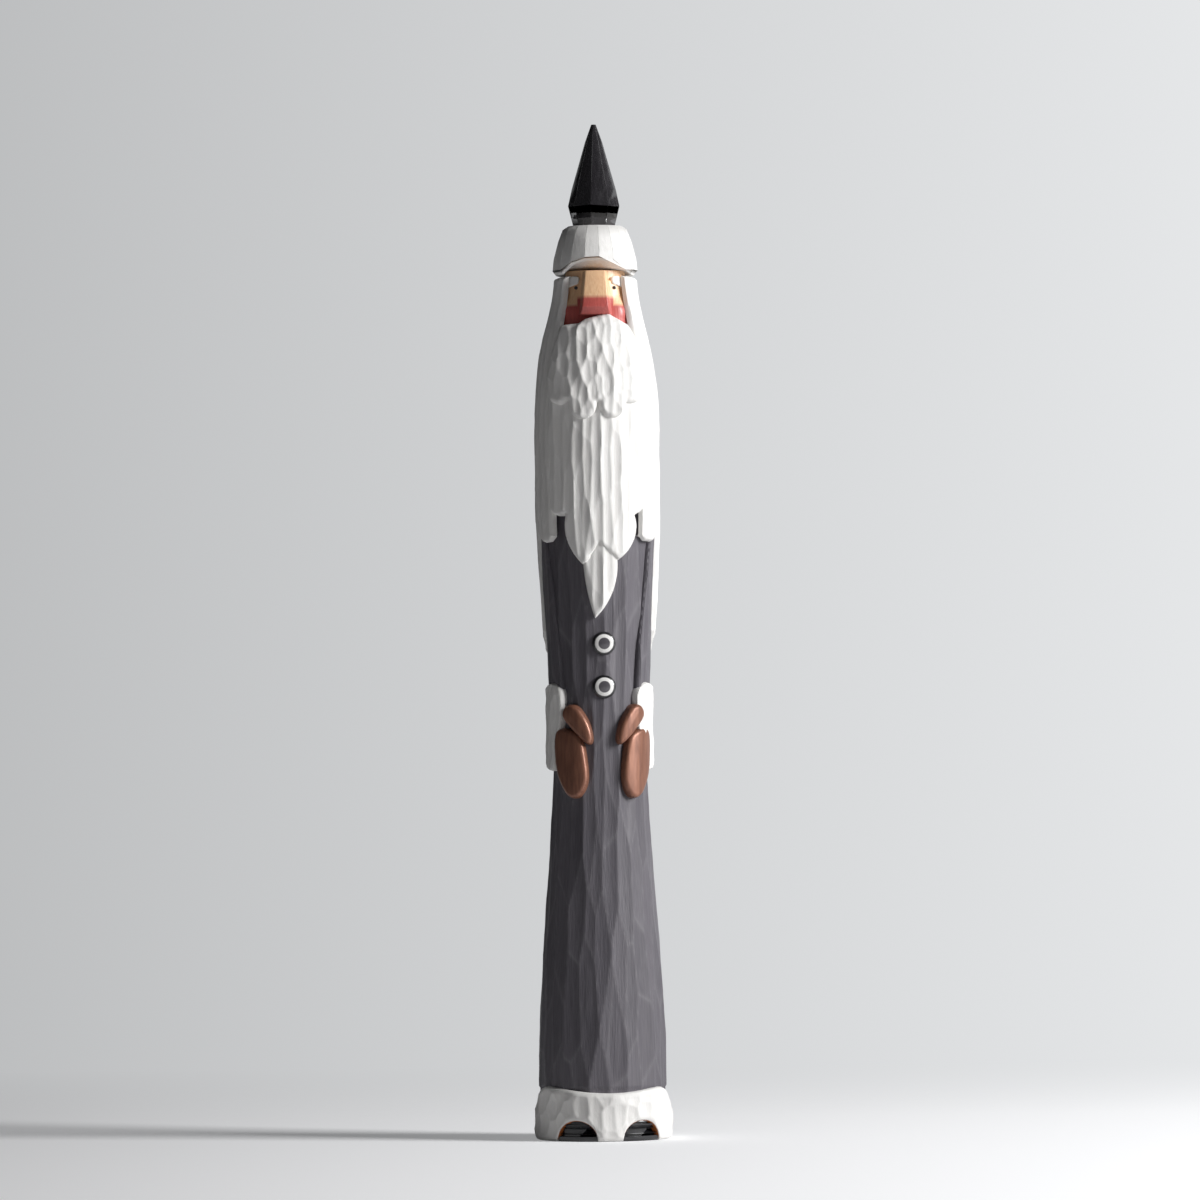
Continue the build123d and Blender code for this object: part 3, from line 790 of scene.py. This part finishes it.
# %% Brim and point
def faceted(rings, sides, turn, soft, name, finish, nodes, arch=0.0):
    """Knife-cut rings from the lowest up: radius and height of each.

    arch lifts the lowest ring by so much in front, and the rings above it less.
    """
    work = bmesh.new()
    made = bmesh.ops.create_circle(work, segments=sides, radius=rings[0][0], cap_ends=True)["verts"]
    bmesh.ops.translate(work, vec=(0, 0, rings[0][1]), verts=made)
    top = work.faces[:]
    for (radius, z), (before, z_before) in zip(rings[1:], rings):
        top = [
            part for part in bmesh.ops.extrude_face_region(work, geom=top)["geom"]
            if isinstance(part, bmesh.types.BMFace)]
        ring = list({vert for face in top for vert in face.verts})
        bmesh.ops.scale(work, vec=(radius / before, radius / before, 1), verts=ring)
        bmesh.ops.translate(work, vec=(0, 0, z - z_before), verts=ring)
    bmesh.ops.holes_fill(work, edges=[edge for edge in work.edges if edge.is_boundary], sides=0)
    bmesh.ops.rotate(work, verts=work.verts, matrix=Matrix.Rotation(math.radians(turn), 3, "Z"))
    arch_top, arch_side = 221.0, 7.5
    for vert in work.verts:
        if arch and vert.co.y < 0 and abs(vert.co.x) < arch_side and vert.co.z < arch_top:
            share = math.sqrt(1 - (vert.co.x / arch_side) ** 2)
            vert.co.z += arch * share * (arch_top - vert.co.z) / (arch_top - rings[0][1])
    bmesh.ops.recalc_face_normals(work, faces=work.faces)
    bmesh.ops.bevel(work, geom=work.edges[:], offset=soft, segments=2, profile=0.5, affect="EDGES",
                    material=-1)
    hand_over(work, name, [finish], nodes, 14)


faceted([(9.6, 212.4), (10.5, 213.6), (10.2, 216.5), (9.0, 221.0), (7.9, 223.8), (6.6, 224.6)], 18, 6, 0.12,
        "hat brim", white, ["hat_brim"], 3.6)
faceted([(5.2, 224.3), (6.5, 229.5), (5.6, 233.6), (3.9, 239.4), (2.2, 245.3), (0.6, 249.7)], 9, 12, 0.1,
        "hat point", hat_black, ["hat_point"])

# %% [markdown]
# The dowel in the neck is a plain round pin, which the CAD already draws well, so it stays and only
# gets its bare wood.

# %% What is left of the CAD
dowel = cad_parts["neck_dowel"]
dowel.data.materials.clear()
dowel.data.materials.append(wood)
print("kept from the CAD:", dowel.name)

# %% [markdown]
# ## Table, lamps and camera
#
# The figure stands on pale paper that curves up behind it. One large soft lamp rakes it from the
# right, low enough to draw the ridges.

# %% Paper
work = bmesh.new()
bmesh.ops.create_grid(work, x_segments=2, y_segments=60, size=1)
bmesh.ops.scale(work, vec=(3, 2, 1), verts=work.verts)
for vert in work.verts:
    far = max(0.0, vert.co.y - 0.8)
    vert.co.y, vert.co.z = (0.8 + 0.6 * math.sin(min(far / 0.6, math.pi / 2)) if far else vert.co.y,
                            (0.6 * (1 - math.cos(min(far / 0.6, math.pi / 2))) + max(0.0, far - 0.94) * 3))
mesh = bpy.data.meshes.new("paper")
work.to_mesh(mesh)
work.free()
paper = bpy.data.objects.new("paper", mesh)
bpy.context.scene.collection.objects.link(paper)
sheet = Finish("paper", Roughness=0.9, Specular_IOR_Level=0.0)
# Painted light: the paper glows for camera, glossy and transmission rays, and the glow rises from left to
# right, towards the key lamp's side. On the floor in front the glow is 0.37 lower, and the paper's diffuse
# white takes the lamp's light and the figure's shadow.
across = sheet.x / (sheet.y + 2000) * 2000
level = across * 0.00093 + 0.655
behind = sheet.y.between(100, 400)
rays = sheet.node("ShaderNodeLightPath")
seen = Value(sheet, rays.outputs["Is Camera Ray"]) + rays.outputs["Is Glossy Ray"]
seen = (seen + rays.outputs["Is Transmission Ray"]).work_out("MINIMUM", 1.0)
glow = (level - (1 - behind) * 0.37) * seen
sheet.feed(sheet.shader.inputs["Base Color"], sheet.mix(behind, (0.82, 0.82, 0.83), (0.0, 0.0, 0.0)))
sheet.feed(sheet.shader.inputs["Emission Color"], sheet.mix(glow, (0.0, 0.0, 0.0), (0.985, 1.0, 1.015)))
sheet.shader.inputs["Emission Strength"].default_value = 1.0
mesh.materials.append(sheet.material)
print("paper made")

# %% Lamps and camera
def lamp(name, bearing, climb, distance, size, power):
    """An area lamp that faces the figure; bearing is measured from the front towards the right."""
    light = bpy.data.lights.new(name, "AREA")
    light.shape = "RECTANGLE"
    light.size, light.size_y = size
    light.energy = power
    holder = bpy.data.objects.new(name, light)
    turn, lift = math.radians(bearing), math.radians(climb)
    reach = distance * math.cos(lift)
    holder.location = (reach * math.sin(turn), -reach * math.cos(turn), 0.13 + distance * math.sin(lift))
    holder.rotation_euler = (math.pi / 2 - lift, 0, turn)
    bpy.context.scene.collection.objects.link(holder)


lamp("key", 67, 22, 1.5, (0.5, 0.7), 30)
world = bpy.data.worlds.new("room")
world.use_nodes = True
world.node_tree.nodes["Background"].inputs["Color"].default_value = (0.045, 0.045, 0.047, 1)
bpy.context.scene.world = world
bpy.context.scene.view_settings.view_transform = "Standard"

camera = bpy.data.objects.new("camera", bpy.data.cameras.new("camera"))
camera.data.lens = 243.6
camera.location = (0.0004, -2.0, 0.107)
aim = math.atan2(0.1325 - 0.107, 2.0)
tilt = Matrix.Rotation(math.pi / 2 + aim, 4, "X") @ Matrix.Rotation(math.radians(-0.59), 4, "Z")
camera.rotation_euler = tilt.to_euler()
bpy.context.scene.collection.objects.link(camera)
bpy.context.scene.camera = camera
print("lens", camera.data.lens, "mm, camera at", [round(value, 4) for value in camera.location])
